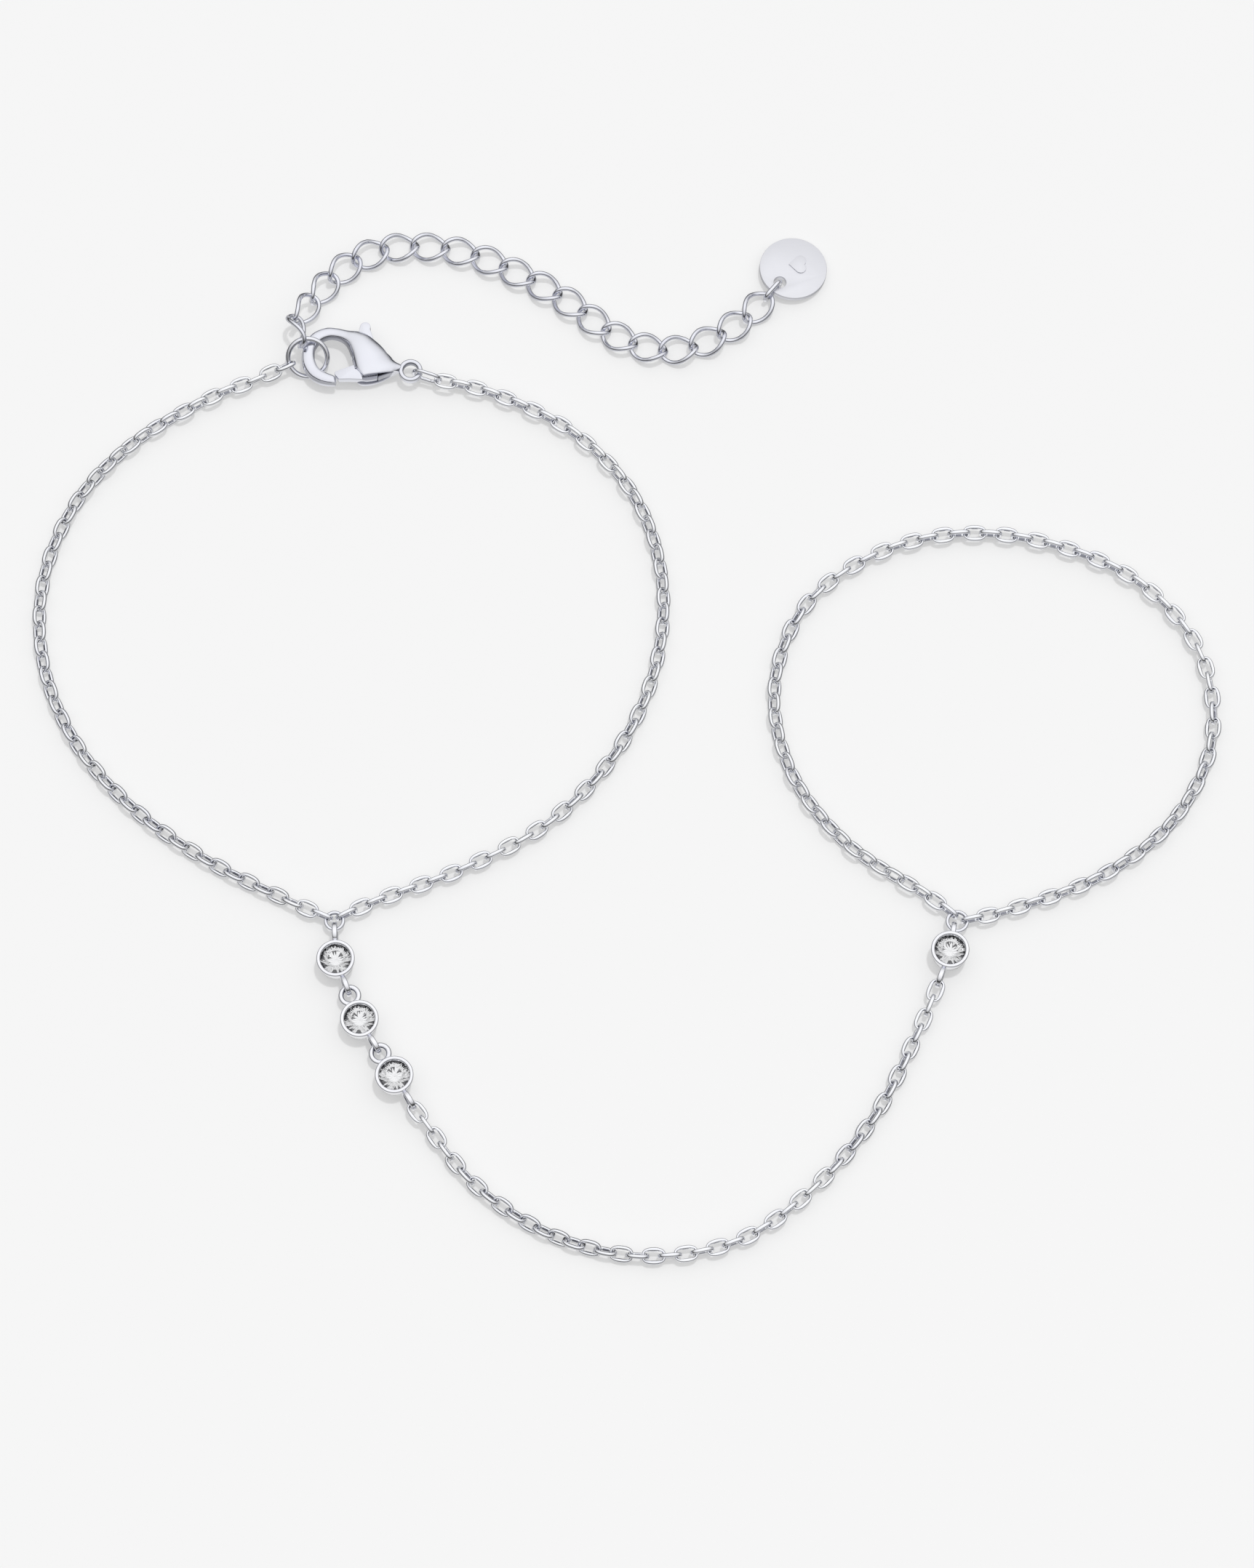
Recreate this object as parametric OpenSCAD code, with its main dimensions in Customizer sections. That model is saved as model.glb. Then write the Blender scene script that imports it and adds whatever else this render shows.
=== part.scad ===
// Hand chain: a wrist loop and a finger loop of fine cable chain, joined across the back of the
// hand by a swag of the same chain. Three stones in round cups start the swag at the wrist and
// one ends it at the finger. A lobster clasp and an extender with a round tag close the wrist.
// It lies on a table: Z is up, and the origin is on the table under the middle of its box.

/* [Cable chain] */
// Distance from one cable link to the next
cable_pitch = 1.39; // [1.37:0.01:1.41]
// Outer width of a cable link
cable_link_w = 1.45; // [1.4:0.01:1.5]
// Wire of the cable links
cable_wire = 0.28; // [0.26:0.01:0.3]
// Clear gap between two hooked links
link_gap = 0.11; // [0.1:0.01:0.13]

/* [Extender] */
// Distance from one curb link to the next
curb_pitch = 2.72; // [2.7:0.01:2.74]
// Outer width of a curb link
curb_link_w = 2.75; // [2.6:0.05:2.8]
// Wire of the curb links
curb_wire = 0.4; // [0.36:0.01:0.41]
// Twist of a curb link's ends
curb_twist = 45; // [40:1:50]

/* [Stones and cups] */
// Outer diameter of a cup's rim
cup_d = 3.26; // [3.2:0.02:3.3]
// Height of a cup
cup_h = 1.9; // [1.8:0.05:2]
// Diameter of a stone at its girdle
stone_d = 2.7; // [2.6:0.02:2.74]

/* [Clasp] */
// Outer diameter of the hook
hook_d = 5.3; // [5.2:0.05:5.4]
// Thickness of the hook
hook_wire = 1.1; // [1.05:0.01:1.12]
// Greatest thickness of the clasp's body
body_t = 2.2; // [2.1:0.05:2.2]
// Diameter of the lever's pin
pin_d = 0.7; // [0.6:0.05:0.8]

/* [Rings and tag] */
// Outer diameter of the jump ring at the extender's start
jump_ring_d = 3.9; // [3.85:0.01:3.95]
// Wire of the jump ring
jump_wire = 0.45; // [0.42:0.01:0.46]
// Outer diameter of the junction ring at the wrist
wrist_ring_d = 1.8; // [1.76:0.02:1.84]
// Outer diameter of the junction ring at the finger
finger_ring_d = 2; // [1.96:0.02:2.04]
// Diameter of the tag
tag_d = 5.95; // [5.8:0.05:6.1]
// Thickness of the tag
tag_t = 0.5; // [0.45:0.01:0.52]

/* [Hidden] */
$fn = 48;
silver = [0.86, 0.86, 0.9];
bright_silver = [0.94, 0.94, 0.97];
clear_stone = [0.93, 0.96, 1];

// Sizes worked out from the ones above
cable_link_l = cable_pitch + 2 * cable_wire + link_gap;
curb_gap = link_gap + 0.03;
curb_link_l = curb_pitch + 2 * curb_wire + curb_gap;
curb_sides = 6;
curb_steps = 20;
// Tube that stands for the swag's links, and the distance between its rings of points
swag_d = 1.3;
swag_sides = 8;
swag_ring_gap = 3;
// Clearance to the table, and the length over which a chain comes down to it from a ring
table_gap = 0.01;
rise_len = 4;

// Band of the ears and junction rings, thin across the ring and taller along its axis.
// A flat ear's band is thicker
band_t = 0.3;
band_h = 0.46;
flat_ear_t = 0.45;
ear_d = 1.95;
long_ear_d = 2;
short_ear_d = 1.7;
ear_z = 1;
ear_sink = 0.18;

// Places of the four cups, the way that each ear points, and how far an ear is rolled
cup_at = [[-24.7, -20.6], [-22.6, -25.9], [-19.6, -30.8], [27.4, -19.8]];
top_ear_way = 93;
swag_start_way = -58;
swag_end_way = 250;
finger_ear_way = 80;
flat = 0;
upright = 90;

// Jump ring: leans on the hook, its far side up
jump_at = [-28.05, 34.47];
jump_lean = 38;
jump_way = 95;

// Clasp: the hook's middle, and the way from there to its end ring
clasp_at = [-25.9, 34.85, 1.25];
clasp_way = -13.5;
end_ring_x = 7.1;
end_ring_d = 2.1;
end_ring_t = 0.4;
end_ring_h = 0.72;
clasp_link_l = 2.8;
clasp_link_w = 2;
clasp_link_wire = 0.34;
clasp_link_way = -17;
clasp_link_drop = 0.2;
lever_t = 0.86;
slot_t = 1;
pivot = [3.6, -0.55];
pin_play = 0.05;
hook_tip_way = 291;

// Tag: its hole, and the way from the hole to the tag's middle
tag_at = [14.68, 43.2];
tag_way = 50;
tag_hole_out = 1.87;
tag_hole_d = 1.12;
tag_lean = 5.2;
tag_link_l = 2.5;
tag_link_w = 1.6;
tag_link_wire = 0.4;

// Routes on the table, from one end to the other
wrist_left_route = [[-33, 32.4], [-36.5, 30.9], [-43, 26.8], [-48, 21.2], [-50.7, 13.8], [-50.4, 6],
    [-47.3, -1.2], [-42, -7.2], [-35.5, -11.8], [-28.6, -15.3]];
wrist_right_route = [[-21.3, -15.2], [-13.7, -12.2], [-6.6, -8.1], [-1.1, -2.1], [2.3, 5.3],
    [3.1, 13.4], [0.9, 21.2], [-4.4, 27.4], [-11.5, 31.2]];
finger_route = [[25.4, -14.6], [18.8, -10.1], [14.1, -3.7], [12.7, 4.1], [15.5, 11.6], [21.9, 16.4],
    [29.6, 18.2], [37.6, 17], [44.8, 13.4], [49.6, 7.1], [50.3, -0.9], [46.8, -8], [40.5, -13],
    [33, -15.9]];
connector_route = [[-17.2, -34.4], [-12.6, -40.2], [-6, -44.5], [1.7, -46.2], [9.5, -44.8],
    [15.9, -40.1], [21, -33.9], [24.6, -26.8]];
extender_route = [[-14.9, 44.9, 0.66], [-9.8, 42.8, 0.66], [-5, 39.9, 0.66], [-0.7, 36.5, 0.66],
    [4.4, 35.3, 0.68], [9.4, 37.5, 0.98]];
// The extender comes down from the jump ring: its first joints, and how far its first links are rolled
extender_top = [[-29.2, 37.8, 1.8], [-27.6, 40, 1.25], [-26, 42.2, 1.05], [-24.1, 43.9, 0.9],
    [-20.5, 45.3, 0.66]];
extender_first_roll = 77;
extender_roll = [[0, 56], [1, 42], [2, 28], [3, 14], [4, 0]];
extender_last_roll = 20;

// How far the links are rolled about the chain, along each route as a share of its length
wrist_left_roll = [[0, -35], [0.1, 5], [0.35, 45], [0.75, 40], [0.94, 34], [0.985, 6], [1, 0]];
wrist_right_roll = [[0, 0], [0.1, 5], [0.4, 35], [0.65, 40], [0.85, 5], [1, 0]];
finger_roll = [[0, 0], [0.015, 6], [0.06, 28], [0.25, 40], [0.4, 5], [0.6, 0], [0.8, 35], [0.95, 5], [1, 0]];

function unit(v) = v / norm(v);
function polar(r, way) = [r * cos(way), r * sin(way)];
function last(p) = p[len(p) - 1];
function lift(p, z) = [p[0], p[1], z];
function turn_x(p, a) = [p[0], p[1] * cos(a) - p[2] * sin(a), p[1] * sin(a) + p[2] * cos(a)];
function turn_y(p, a) = [p[0] * cos(a) + p[2] * sin(a), p[1], p[2] * cos(a) - p[0] * sin(a)];
function turn_z(p, a) = [p[0] * cos(a) - p[1] * sin(a), p[0] * sin(a) + p[1] * cos(a), p[2]];

// A smooth curve through the points of a route
function blend4(a, b, c, d, t) = 0.5 * (2 * b + (c - a) * t + (2 * a - 5 * b + 4 * c - d) * t * t
    + (3 * b - a - 3 * c + d) * t * t * t);
function smooth(p, steps = 10) = [
    for (i = [0 : len(p) - 2])
        for (k = [0 : steps - 1])
            blend4(p[max(i - 1, 0)], p[i], p[i + 1], p[min(i + 2, len(p) - 1)], k / steps),
    p[len(p) - 1]];
function distances(p) = [for (i = 0, s = 0; i < len(p); i = i + 1,
    s = i < len(p) ? s + norm(p[i] - p[i - 1]) : s) s];
function table(d, p, axis) = [for (i = [0 : len(p) - 1]) [d[i], p[i][axis]]];

// Height of a link's middle when it rests at a roll on the table
function rest_height(roll, w, wire) =
    table_gap + wire / 2 + (w - wire) / 2 * max(abs(sin(roll)), abs(cos(roll)));

// The joints between the links: points at equal steps along a route, from one end hook to the other
function joints(start, route, end, n, rolls) =
    let (p = smooth(concat([lift(start, 0)], [for (q = route) lift(q, 0)], [lift(end, 0)])),
        d = distances(p), total = d[len(d) - 1], tx = table(d, p, 0), ty = table(d, p, 1),
        first = start[2] - rest_height(lookup(0, rolls), cable_link_w, cable_wire),
        last = end[2] - rest_height(lookup(1, rolls), cable_link_w, cable_wire),
        raise = [[0, first], [rise_len, 0], [total - rise_len, 0], [total, last]])
    [for (i = [0 : n]) let (s = total * i / n)
        [lookup(s, tx), lookup(s, ty),
            rest_height(lookup(i / n, rolls), cable_link_w, cable_wire) + lookup(s, raise)]];
function route_length(start, route, end) =
    let (p = smooth(concat([lift(start, 0)], [for (q = route) lift(q, 0)], [lift(end, 0)])),
        d = distances(p)) d[len(d) - 1];
function odd_count(length, pitch) = 2 * round((length / pitch - 1) / 2) + 1;
function even_count(length, pitch) = 2 * round(length / pitch / 2);

// The joint next to a ring: its wire or band is t thick at the point q, and the chain leaves to "to"
function joint_at(q, to, t) = q - unit(lift(to, q[2]) - q) * (t + link_gap) / 2;

// Points on the rings that the chains hook into
jump_r = (jump_ring_d - jump_wire) / 2;
jump_z = jump_r * sin(jump_lean) + jump_wire / 2 + table_gap;
function on_jump_ring(a) = lift(jump_at, jump_z)
    + turn_z(turn_y([jump_r * cos(a), jump_r * sin(a), 0], -jump_lean), jump_way);
wrist_ring_r = (wrist_ring_d - band_t) / 2;
finger_ring_r = (finger_ring_d - band_t) / 2;
junction_z = 0.88;
// Extra room for the bend of a band inside a link or ear
bend_room = 0.05;
// An ear's middle from the cup's: its band overlaps the cup's rim
ear_lap = 0.23;
function ear_out(d) = cup_d / 2 - ear_lap + d / 2;
short_ear_out = 1.8;
wrist_ring_at = lift(cup_at[0] + polar(ear_out(long_ear_d) + long_ear_d / 2 - band_t * 1.5 - link_gap
    - bend_room + wrist_ring_r, top_ear_way), junction_z);
// The finger's ring lies a little to one side of the ear, and this far beyond its outer end
finger_ring_side = 0.22;
finger_ring_past = 0.28;
finger_ring_out = short_ear_out + (short_ear_d - band_t) / 2 + finger_ring_past;
finger_ring_at = lift(cup_at[3] + polar(finger_ring_out, finger_ear_way)
    + polar(finger_ring_side, finger_ear_way - 90), junction_z);
function on_wrist_ring(way) = wrist_ring_at + lift(polar(wrist_ring_r, way), 0);
function on_finger_ring(way) = finger_ring_at + lift(polar(finger_ring_r, way), 0);

module link(l, w, wire) {
    r = (w - wire) / 2;
    half = (l - w) / 2;
    for (side = [-1, 1]) {
        translate([side * half, 0, 0])
            rotate([0, 0, -90 * side])
                rotate_extrude(angle = 180)
                    translate([r, 0])
                        circle(d = wire);
        translate([-half, side * r, 0])
            rotate([0, 90, 0])
                cylinder(d = wire, h = 2 * half);
    }
}

// Puts a piece that lies along X between two points, rolled about the line between them
module between(a, b, roll) {
    v = b - a;
    translate((a + b) / 2)
        rotate([0, -atan2(v[2], norm([v[0], v[1]])), atan2(v[1], v[0])])
            rotate([roll, 0, 0])
                children();
}

// Every second link of a cable chain is turned by a right angle
module cable(j, rolls) {
    n = len(j) - 1;
    for (i = [0 : n - 1])
        between(j[i], j[i + 1], lookup((i + 0.5) / n, rolls) + (i % 2 == 0 ? 90 : 180))
            union() link(cable_link_l, cable_link_w, cable_wire);
}

// Where the wrist chain hooks the jump ring
jump_chain_hook = 107;
wrist_left_start = joint_at(on_jump_ring(jump_chain_hook), wrist_left_route[0], jump_wire);
wrist_left_end = joint_at(on_wrist_ring(150), last(wrist_left_route), band_t + bend_room);
module wrist_chain_left() {
    n = odd_count(route_length(wrist_left_start, wrist_left_route, wrist_left_end), cable_pitch);
    color(bright_silver)
        cable(joints(wrist_left_start, wrist_left_route, wrist_left_end, n, wrist_left_roll),
            wrist_left_roll);
}

end_ring_at = clasp_at + lift(polar(end_ring_x, clasp_way), 0);
clasp_link_start = end_ring_at + lift(polar((end_ring_d - end_ring_t) / 2 - end_ring_t / 2
    - link_gap - 2 * bend_room - clasp_link_wire / 2, clasp_link_way), 0);
clasp_link_end = clasp_link_start
    + lift(polar(clasp_link_l - clasp_link_wire, clasp_link_way), -clasp_link_drop);
wrist_right_start = joint_at(on_wrist_ring(35), wrist_right_route[0], band_t + bend_room);
wrist_right_end = joint_at(clasp_link_end, last(wrist_right_route), clasp_link_wire);
module wrist_chain_right() {
    n = even_count(route_length(wrist_right_start, wrist_right_route, wrist_right_end), cable_pitch);
    color(bright_silver)
        cable(joints(wrist_right_start, wrist_right_route, wrist_right_end, n, wrist_right_roll),
            wrist_right_roll);
}

finger_start = joint_at(on_finger_ring(120), finger_route[0], band_t + 3 * bend_room);
finger_end = joint_at(on_finger_ring(10), last(finger_route), band_t + bend_room);
module finger_chain() {
    n = odd_count(route_length(finger_start, finger_route, finger_end), cable_pitch);
    color(bright_silver)
        cable(joints(finger_start, finger_route, finger_end, n, finger_roll), finger_roll);
}

module clasp_link() {
    color(bright_silver)
        between(clasp_link_start, clasp_link_end, 90)
            link(clasp_link_l, clasp_link_w, clasp_link_wire);
}

// A ring of a band t thick and band_h high with round edges, in the XY plane
module band_ring(d, t = band_t) {
    rotate_extrude()
        translate([(d - t) / 2, 0]) {
            square([t, band_h - band_t], center = true);
            if (t > band_t)
                square([t - band_t, band_h], center = true);
            for (x = t > band_t ? [-1, 1] : [0], y = [-1, 1])
                translate([x * (t - band_t) / 2, y * (band_h - band_t) / 2])
                    circle(d = band_t);
        }
}

module ear(d, out, way, roll) {
    rotate([0, 0, way])
        translate([out, 0, ear_z])
            rotate([roll, 0, 0])
                band_ring(d, roll == flat ? flat_ear_t : band_t);
}

module cup() {
    rim = 0.17;
    foot_r = 1.2;
    groove_r = stone_d / 2 + 0.05;
    difference() {
        rotate_extrude() {
            polygon([[0, 0], [foot_r, 0], [foot_r + 0.14, 0.12], [cup_d / 2 - 0.1, cup_h * 0.6],
                [cup_d / 2, cup_h - rim], [cup_d / 2 - 2 * rim, cup_h - rim], [0, cup_h - rim]]);
            translate([cup_d / 2 - rim, cup_h - rim])
                circle(r = rim);
        }
        rotate_extrude()
            polygon([[0, -1], [0.45, -1], [0.45, 0.55], [groove_r - 0.2, stone_z - 0.21],
                [groove_r, stone_z - 0.06], [groove_r, stone_z + 0.11],
                [cup_d / 2 - 2 * rim, stone_z + 0.16], [cup_d / 2 - 2 * rim, cup_h + 1], [0, cup_h + 1]]);
    }
}

stone_z = cup_h - 0.48;
module setting(i, ears) {
    color(silver)
        translate(lift(cup_at[i], 0)) {
            cup();
            difference() {
                for (e = ears)
                    ear(e[0], e[1], e[2], e[3]);
                cylinder(r = cup_d / 2 - ear_sink, h = cup_h);
            }
        }
}

function way_between(a, b) = atan2(b[1] - a[1], b[0] - a[0]);
module setting_1() setting(0, [[long_ear_d, ear_out(long_ear_d), top_ear_way, upright],
    [ear_d, ear_out(ear_d), way_between(cup_at[0], cup_at[1]), upright]]);
module setting_2() setting(1, [[ear_d, ear_out(ear_d), way_between(cup_at[1], cup_at[0]), flat],
    [ear_d, ear_out(ear_d), way_between(cup_at[1], cup_at[2]), upright]]);
module setting_3() setting(2, [[ear_d, ear_out(ear_d), way_between(cup_at[2], cup_at[1]), flat],
    [ear_d, ear_out(ear_d), swag_start_way, upright]]);
module setting_4() setting(3, [[short_ear_d, short_ear_out, finger_ear_way, upright],
    [ear_d, ear_out(ear_d), swag_end_way, upright]]);

// Round brilliant: an 8-sided table, star, kite and girdle facets above, long facets below.
// Each row: height, radius as a share of the stone's, thickness, corners, turn
stone_rows = [[0.43, 0.56, 0.001, 8, 0], [0.27, 0.79, 0.001, 8, 22.5], [0, 1, 0.05, 16, 0],
    [-0.74, 0.36, 0.001, 8, 22.5], [-1.12, 0.022, 0.001, 8, 0]];
module stone(i) {
    color(clear_stone)
        translate(lift(cup_at[i], stone_z))
            rotate([0, 0, 22.5 * i])
                hull()
                    for (row = stone_rows)
                        translate([0, 0, row[0]])
                            rotate([0, 0, row[4]])
                                cylinder(r = row[1] * stone_d / 2, h = row[2], $fn = row[3]);
}

module wrist_junction_ring() {
    color(silver)
        translate(wrist_ring_at)
            band_ring(wrist_ring_d);
}

module finger_junction_ring() {
    color(silver)
        translate(finger_ring_at)
            band_ring(finger_ring_d);
}

module jump_ring() {
    color(silver)
        translate(lift(jump_at, jump_z))
            rotate([0, 0, jump_way])
                rotate([0, -jump_lean, 0])
                    rotate_extrude()
                        translate([jump_r, 0])
                            circle(d = jump_wire);
}

// Swag: a tube along the connector's route, with a real link at each end in the cups' ears
function ear_end(i, way) = lift(cup_at[i] + polar(ear_out(ear_d) + (ear_d - band_t) / 2, way), ear_z);
swag_start = joint_at(ear_end(2, swag_start_way), connector_route[0], band_t + bend_room);
swag_end = joint_at(ear_end(3, swag_end_way), last(connector_route), band_t + bend_room);
swag_roll = [[0, 0], [0.1, 20], [0.3, 45], [0.45, 5], [0.6, 0], [0.75, 30], [0.9, 20], [1, 0]];

// Triangles of a tube whose rings have the same number of points, closed to a loop or capped
function loop_faces(rings, sides, closed) = concat(
    [for (i = [0 : rings - (closed ? 1 : 2)]) for (k = [0 : sides - 1]) for (half = [0, 1])
        let (a = i * sides + k, b = i * sides + (k + 1) % sides,
            c = ((i + 1) % rings) * sides + (k + 1) % sides, d = ((i + 1) % rings) * sides + k)
        half == 0 ? [d, c, b] : [d, b, a]],
    closed ? [] : [[for (k = [0 : sides - 1]) k], [for (k = [sides - 1 : -1 : 0]) (rings - 1) * sides + k]]);

module connector_chain() {
    n = odd_count(route_length(swag_start, connector_route, swag_end), cable_pitch);
    j = joints(swag_start, connector_route, swag_end, n, swag_roll);
    color(bright_silver) {
        for (i = [0, n - 1])
            between(j[i], j[i + 1], 0)
                union() link(cable_link_l, cable_link_w, cable_wire);
        swag_tube(j, n);
    }
}

module swag_tube(j, n) {
    // The tube starts just clear of each end link
    reach = (cable_wire + link_gap) / 2 + cable_wire / 2 + link_gap;
    a = j[1] + unit(j[2] - j[1]) * reach;
    b = j[n - 1] + unit(j[n - 2] - j[n - 1]) * reach;
    skip = round(swag_ring_gap / cable_pitch);
    mid = [for (i = [2 : skip : n - 2]) j[i]];
    p = concat([a], mid, [b]);
    m = len(p);
    points = [for (i = [0 : m - 1])
        let (v = p[min(i + 1, m - 1)] - p[max(i - 1, 0)], way = atan2(v[1], v[0]),
            h = max(p[i][2], swag_d / 2 + table_gap))
        for (k = [0 : swag_sides - 1])
            let (t = 360 * (k + 0.5) / swag_sides, c = swag_d / 2 * cos(t), s = swag_d / 2 * sin(t))
            [p[i][0] - c * sin(way), p[i][1] + c * cos(way), h + s]];
    polyhedron(points, loop_faces(m, swag_sides, false), convexity = 4);
}

// Curb link: an oval of wire whose two ends are twisted opposite ways, so that the chain lies flat
function curb_point(u) =
    let (a = (curb_link_l - curb_wire) / 2, b = (curb_link_w - curb_wire) / 2)
    turn_x([a * cos(u), b * sin(u), 0], -curb_twist * cos(u));
function curb_out(u) =
    let (a = (curb_link_l - curb_wire) / 2, b = (curb_link_w - curb_wire) / 2)
    turn_x([b * cos(u), a * sin(u), 0], -curb_twist * cos(u));
module curb_link() {
    points = [for (i = [0 : curb_steps - 1])
        let (u = 360 * i / curb_steps, c = curb_point(u),
            along = unit(curb_point(u + 1) - curb_point(u - 1)),
            raw = curb_out(u), out = unit(raw - along * (raw * along)), side = cross(along, out))
        for (k = [0 : curb_sides - 1])
            let (t = 360 * k / curb_sides)
            c + curb_wire / 2 * (out * cos(t) + side * sin(t))];
    polyhedron(points, loop_faces(curb_steps, curb_sides, true), convexity = 6);
}

tag_hole_at = lift(tag_at - polar(tag_hole_out, tag_way), 0);
tag_link_reach = 0.1;
tag_link_hole_end = tag_hole_at + lift(polar(tag_link_reach, tag_way), tag_link_w / 2);
tag_link_chain_end = tag_link_hole_end - lift(polar(tag_link_l - tag_link_wire, tag_way), 0);
// Where the extender hooks the jump ring
extender_hook = 14;
extender_hook_at = on_jump_ring(extender_hook);
extender_start = extender_hook_at
    - unit(extender_top[0] - extender_hook_at) * (jump_wire + curb_gap) / 2;
extender_end = joint_at(tag_link_chain_end, last(extender_route), tag_link_wire + bend_room);
module extender_chain() {
    p = smooth(concat(extender_top, extender_route, [extender_end]));
    d = distances(p);
    total = d[len(d) - 1];
    n = round(total / curb_pitch);
    step = total / n;
    axes = [for (axis = [0 : 2]) table(d, p, axis)];
    roll = concat(extender_roll, [[n - 4, 0], [n - 1, extender_last_roll]]);
    at = [for (i = [0 : n]) [for (axis = [0 : 2]) lookup(i * step, axes[axis])]];
    color(silver) {
        // The first link hangs slack between the jump ring and the second link
        between(extender_start, extender_start + unit(at[0] - extender_start) * curb_pitch,
            extender_first_roll)
            curb_link();
        for (i = [0 : n - 1])
            between(at[i], at[i + 1], lookup(i, roll))
                curb_link();
    }
}

module tag_link() {
    color(silver)
        between(tag_link_chain_end, tag_link_hole_end, 90)
            link(tag_link_l, tag_link_w, tag_link_wire);
}

// Tag: a round disc with a hole near its edge and a small raised heart, leaning on the tag link
module tag_disc() {
    r = tag_d / 2;
    edge = 0.08;
    color(silver)
        translate(lift(tag_at, r * sin(tag_lean)))
            rotate([0, 0, tag_way])
                rotate([0, tag_lean, 0]) {
                    difference() {
                        rotate_extrude()
                            polygon([[0, 0], [r - edge, 0], [r, edge], [r, tag_t - edge],
                                [r - edge, tag_t], [0, tag_t]]);
                        translate([-tag_hole_out, 0, -1])
                            cylinder(d = tag_hole_d, h = 2 + tag_t);
                    }
                    translate([0.45, 0, tag_t - 0.05])
                        rotate([0, 0, -90 - tag_way])
                            linear_extrude(0.17)
                                heart(0.5);
                }
}

module heart(r) {
    rotate([0, 0, 45]) {
        translate([-r, -r]) square(2 * r);
        translate([0, r]) circle(r);
        translate([r, 0]) circle(r);
    }
}

// Clasp body: a rounded drop with a slot for the lever, a hook round to the front and an end ring
module pebble(at, r, h) {
    translate(lift(at, 0))
        rotate_extrude($fn = 32)
            polygon(concat([[0, -h / 2], [0, h / 2]],
                [for (a = [80 : -20 : -80]) [r * pow(cos(a), 0.6), h / 2 * sin(a)]]));
}

module clasp_body() {
    hook_r = (hook_d - hook_wire) / 2;
    shoulder = [1.55, 1.6];
    color(silver)
        translate(clasp_at)
            rotate([0, 0, clasp_way]) {
                difference() {
                    union() {
                        hull() {
                            pebble(shoulder, 1, 1.5);
                            pebble([3.2, 0.35], 1.85, body_t);
                            pebble([3.15, -1.5], 0.45, 1.9);
                            pebble([5.65, 0], 0.5, 1.1);
                        }
                        // The hook grows out of the body's shoulder
                        hull() {
                            pebble(shoulder, 1, 1.5);
                            pebble(polar(hook_r, 80), hook_wire / 2 + 0.01, hook_wire + 0.02);
                        }
                    }
                    translate([0, 0, -slot_t / 2])
                        linear_extrude(slot_t)
                            polygon([[1.6, 0.5], [1.6, 3.5], [4.5, 3.5], [4.55, -0.5], [4.4, -3],
                                [0, -3], [0.8, 0]]);
                    // Straight lower edge
                    translate([2.7, -1.85, -2])
                        rotate([0, 0, 24])
                            translate([-2, -2, 0])
                                cube([7, 2, 4]);
                }
                translate([pivot[0], pivot[1], -slot_t / 2 - 0.2])
                    cylinder(d = pin_d, h = slot_t + 0.4);
                rotate_extrude(angle = hook_tip_way - 65, start = 65)
                    translate([hook_r, 0])
                        circle(d = hook_wire);
                translate([end_ring_x, 0, 0])
                    rotate_extrude()
                        translate([(end_ring_d - end_ring_t) / 2, 0]) {
                            square([end_ring_t, end_ring_h - end_ring_t], center = true);
                            for (side = [-1, 1])
                                translate([0, side * (end_ring_h - end_ring_t) / 2])
                                    circle(d = end_ring_t);
                        }
            }
}

// Lever: a flat piece on the pin, with a tongue that shuts the hook and a thumb tab at the back
module clasp_lever() {
    tongue_r = 3.05;
    lever_hub_r = 0.72;
    tab_y = 3.75;
    color(bright_silver)
        translate(clasp_at)
            rotate([0, 0, clasp_way])
                translate([pivot[0], pivot[1], -lever_t / 2])
                    difference() {
                        union() {
                            cylinder(r = lever_hub_r, h = lever_t);
                            intersection() {
                                cylinder(r = tongue_r, h = lever_t);
                                linear_extrude(lever_t)
                                    polygon([[-3.4, -1.15], [-1.5, -0.25], [0, 0.7], [0.5, -0.5],
                                        [-0.6, -1.35], [-0.9, -1.6], [-3.4, -1.72]]);
                            }
                            linear_extrude(lever_t)
                                polygon([[-0.72, 0], [-1.75, 2.9], [-1.9, tab_y], [-0.94, tab_y],
                                    [-0.6, 2.9], [0.3, 0.6]]);
                            translate([-1.42, tab_y, 0])
                                cylinder(r = 0.48, h = lever_t);
                        }
                        translate([0, 0, -1])
                            cylinder(d = pin_d + 2 * pin_play, h = lever_t + 2);
                    }
}

module stone_1() stone(0);
module stone_2() stone(1);
module stone_3() stone(2);
module stone_4() stone(3);

wrist_chain_left();
wrist_chain_right();
finger_chain();
connector_chain();
extender_chain();
jump_ring();
clasp_body();
clasp_lever();
clasp_link();
wrist_junction_ring();
finger_junction_ring();
setting_1();
setting_2();
setting_3();
setting_4();
stone_1();
stone_2();
stone_3();
stone_4();
tag_link();
tag_disc();
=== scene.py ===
"""Hand chain: looks of the chains, stones, clasp, extender and tag, on a pale floor in soft light.
Sizes are in millimetres here and are scaled to metres when a mesh is made."""
import math

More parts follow.
